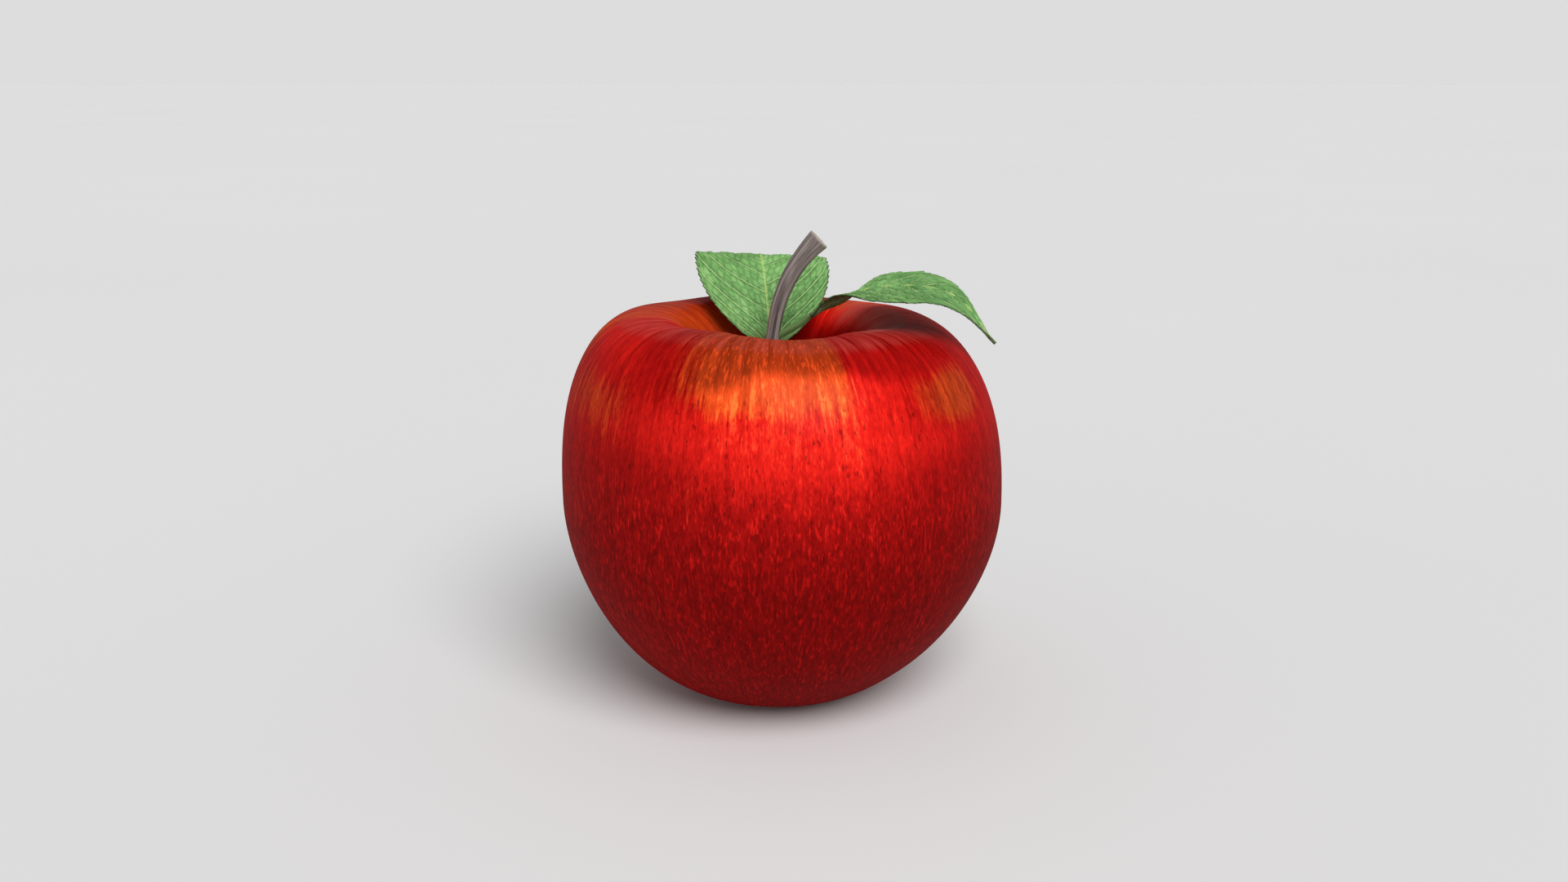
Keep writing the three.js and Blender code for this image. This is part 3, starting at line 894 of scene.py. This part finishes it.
def build_sepal(number, material):
    angle = 2 * math.pi * number / SEPAL_COUNT
    heading = np.array([math.cos(angle), math.sin(angle), 0.0])
    half = SEPAL_RING * math.sin(math.pi / SEPAL_COUNT) - GAP
    top = float(basin_height(math.hypot(SEPAL_RING + SEPAL_THICKNESS / 2, half))) - GAP
    centre = np.array([float(core_x(top)), 0, 0])
    stops = []
    for out, down in SEPAL_CURL:
        p = centre + heading * (SEPAL_RING + SEPAL_FLARE * out)
        stops.append([p[0], p[1], top - SEPAL_LENGTH * down])
    line, _ = catmull_rom(stops, SEPAL_ROWS)
    across = np.cross(heading, (0, 0, 1.0))
    outward = np.cross(across, tangents(line))
    t = np.linspace(0, 1, SEPAL_ROWS)[:, None]
    theta = np.linspace(0, 2 * np.pi, SEPAL_SIDES, endpoint=False)[None, :]
    a, b = np.cos(theta) + 0 * t, np.sin(theta) + 0 * t
    width = half * (1 - 0.88 * t**1.5)
    depth = 0.2 * (1 - 0.4 * t)
    crinkle = noise_at(np.stack([a * 2, b * 0 + t * 5, b * 0 + number * 3.0], -1), 5, 3)
    reach = a * width * (1 + 0.2 * crinkle)
    lift = b * depth - 0.35 * width * a**2 + 0.16 * crinkle
    rings = line[:, None, :] + across * reach[..., None] + outward[:, None, :] * lift[..., None]
    return tube(f"sepal_{number + 1}_dry", rings, {}, material, [f"sepal_{number + 1}"])


def filament_line(rng, upright, centre_x, top):
    """The middle line of one dried stamen, or of the upright style."""
    angle = rng.random() * 2 * math.pi
    spread = 0.0 if upright else rng.uniform(0.35, TUFT_RADIUS)
    foot = rng.uniform(0.05, 0.25)
    length = TUFT_LENGTH * rng.uniform(0.7, 1.0)
    bend = rng.uniform(-0.5, 0.5)
    stops = []
    for q in (0, 0.35, 0.7, 1):
        r = mix(foot, spread, q**1.3)
        turn = angle + bend * q * q
        stops.append([centre_x + r * math.cos(turn), r * math.sin(turn), top - length * q])
    return catmull_rom(stops, FILAMENT_ROWS)[0]


def build_tuft(material):
    """Dried stamens: a bundle of thin bent filaments round a short style, as one mesh."""
    rng = random.Random(11)
    top = BASIN_DEPTH - GAP
    centre_x = float(core_x(BASIN_DEPTH))
    rows, sides = FILAMENT_ROWS, FILAMENT_SIDES
    verts, faces = [], []
    for k in range(FILAMENT_COUNT):
        base = len(verts)
        for i, p in enumerate(filament_line(rng, k == 0, centre_x, top)):
            q = i / (rows - 1)
            knob = 0.09 * max(0.0, (q - 0.82) / 0.18) ** 0.5 * (1.25 - q)
            radius = FILAMENT_RADIUS + knob
            for j in range(sides):
                turn = 2 * math.pi * j / sides
                verts.append([p[0] + radius * math.cos(turn), p[1] + radius * math.sin(turn), p[2]])
        for i in range(rows - 1):
            low, high = base + i * sides, base + (i + 1) * sides
            for j in range(sides):
                k2 = (j + 1) % sides
                faces.append([low + j, high + j, high + k2, low + k2])
        faces.append([base + j for j in range(sides)])
        faces.append([base + (rows - 1) * sides + j for j in reversed(range(sides))])
    return add_piece("stamens_dry", verts, faces, material, ["stamen_tuft"])


# ---------------------------------------------------------------- studio

FLOOR_HALF, FLOOR_CELLS = 9.0, 60  # metres, and squares along a side
CAMERA_PLACE = (0.00024, -0.233469, 0.105799)
CAMERA_DOWN = 14.9625  # degrees below level
CAMERA_LENS, CAMERA_SENSOR = 32.1124, 36
KEY_STRENGTH, KEY_SPREAD = 2.45, 40  # the spread, azimuth and elevation are in degrees
KEY_AZIMUTH, KEY_ELEVATION = 22, 48
SURROUND_LOW, SURROUND_HIGH = (0.2, 0.723), (0.5, 0.3)  # (upward direction, brightness)


def build_floor():
    """A wide flat sheet under the apple."""
    at = np.linspace(-FLOOR_HALF, FLOOR_HALF, FLOOR_CELLS + 1)
    x, y = np.meshgrid(at, at, indexing="ij")
    verts = np.stack([x, y, 0 * x], -1).reshape(-1, 3)
    i, j = np.meshgrid(np.arange(FLOOR_CELLS), np.arange(FLOOR_CELLS), indexing="ij")
    w = FLOOR_CELLS + 1
    faces = np.stack([i * w + j, (i + 1) * w + j, (i + 1) * w + j + 1, i * w + j + 1], -1)
    mesh = bpy.data.meshes.new("studio_floor")
    mesh.from_pydata(verts.tolist(), [], faces.reshape(-1, 4).tolist())
    mesh.materials.append(floor_material())
    floor = bpy.data.objects.new("studio_floor", mesh)
    bpy.context.scene.collection.objects.link(floor)


def build_light():
    """A pale surround, brighter low down, and one broad key light from the front right."""
    world = bpy.data.worlds.new("studio")
    bpy.context.scene.world = world
    world.use_nodes = True
    tree = world.node_tree
    back = tree.nodes["Background"]
    place = tree.nodes.new("ShaderNodeTexCoord")
    split = tree.nodes.new("ShaderNodeSeparateXYZ")
    ramp = tree.nodes.new("ShaderNodeValToRGB")
    tree.links.new(place.outputs["Generated"], split.inputs[0])
    tree.links.new(split.outputs["Z"], ramp.inputs[0])
    tree.links.new(ramp.outputs[0], back.inputs["Color"])
    for element, (place, grey) in zip(ramp.color_ramp.elements, (SURROUND_LOW, SURROUND_HIGH)):
        element.position, element.color = place, (grey, grey, grey, 1)
    back.inputs["Strength"].default_value = 1.0
    key = bpy.data.lights.new("key", "SUN")
    key.energy = KEY_STRENGTH
    key.angle = math.radians(KEY_SPREAD)
    lamp = bpy.data.objects.new("key", key)
    azimuth, elevation = math.radians(KEY_AZIMUTH), math.radians(KEY_ELEVATION)
    towards = Vector((math.sin(azimuth) * math.cos(elevation),
                      -math.cos(azimuth) * math.cos(elevation), math.sin(elevation)))
    lamp.rotation_euler = towards.to_track_quat("Z", "Y").to_euler()
    bpy.context.scene.collection.objects.link(lamp)


def build_camera():
    camera = bpy.data.cameras.new("camera")
    camera.sensor_width = CAMERA_SENSOR
    camera.lens = CAMERA_LENS
    camera.clip_start, camera.clip_end = 0.01, 50
    eye = bpy.data.objects.new("camera", camera)
    eye.location = CAMERA_PLACE
    eye.rotation_euler = (math.radians(90 - CAMERA_DOWN), 0, 0)
    bpy.context.scene.collection.objects.link(eye)
    bpy.context.scene.camera = eye
    bpy.context.scene.view_settings.view_transform = "Standard"


build_camera()
build_light()
build_floor()
build_fruit()
build_stem()
green = leaf_material()
build_leaf("leaf_right_blade", RIGHT_LEAF, ["leaf_right"], 1, green)
build_leaf("leaf_back_blade", BACK_LEAF, ["leaf_back"], 2, green)
dry = calyx_material()
for number in range(SEPAL_COUNT):
    build_sepal(number, dry)
build_tuft(dry)
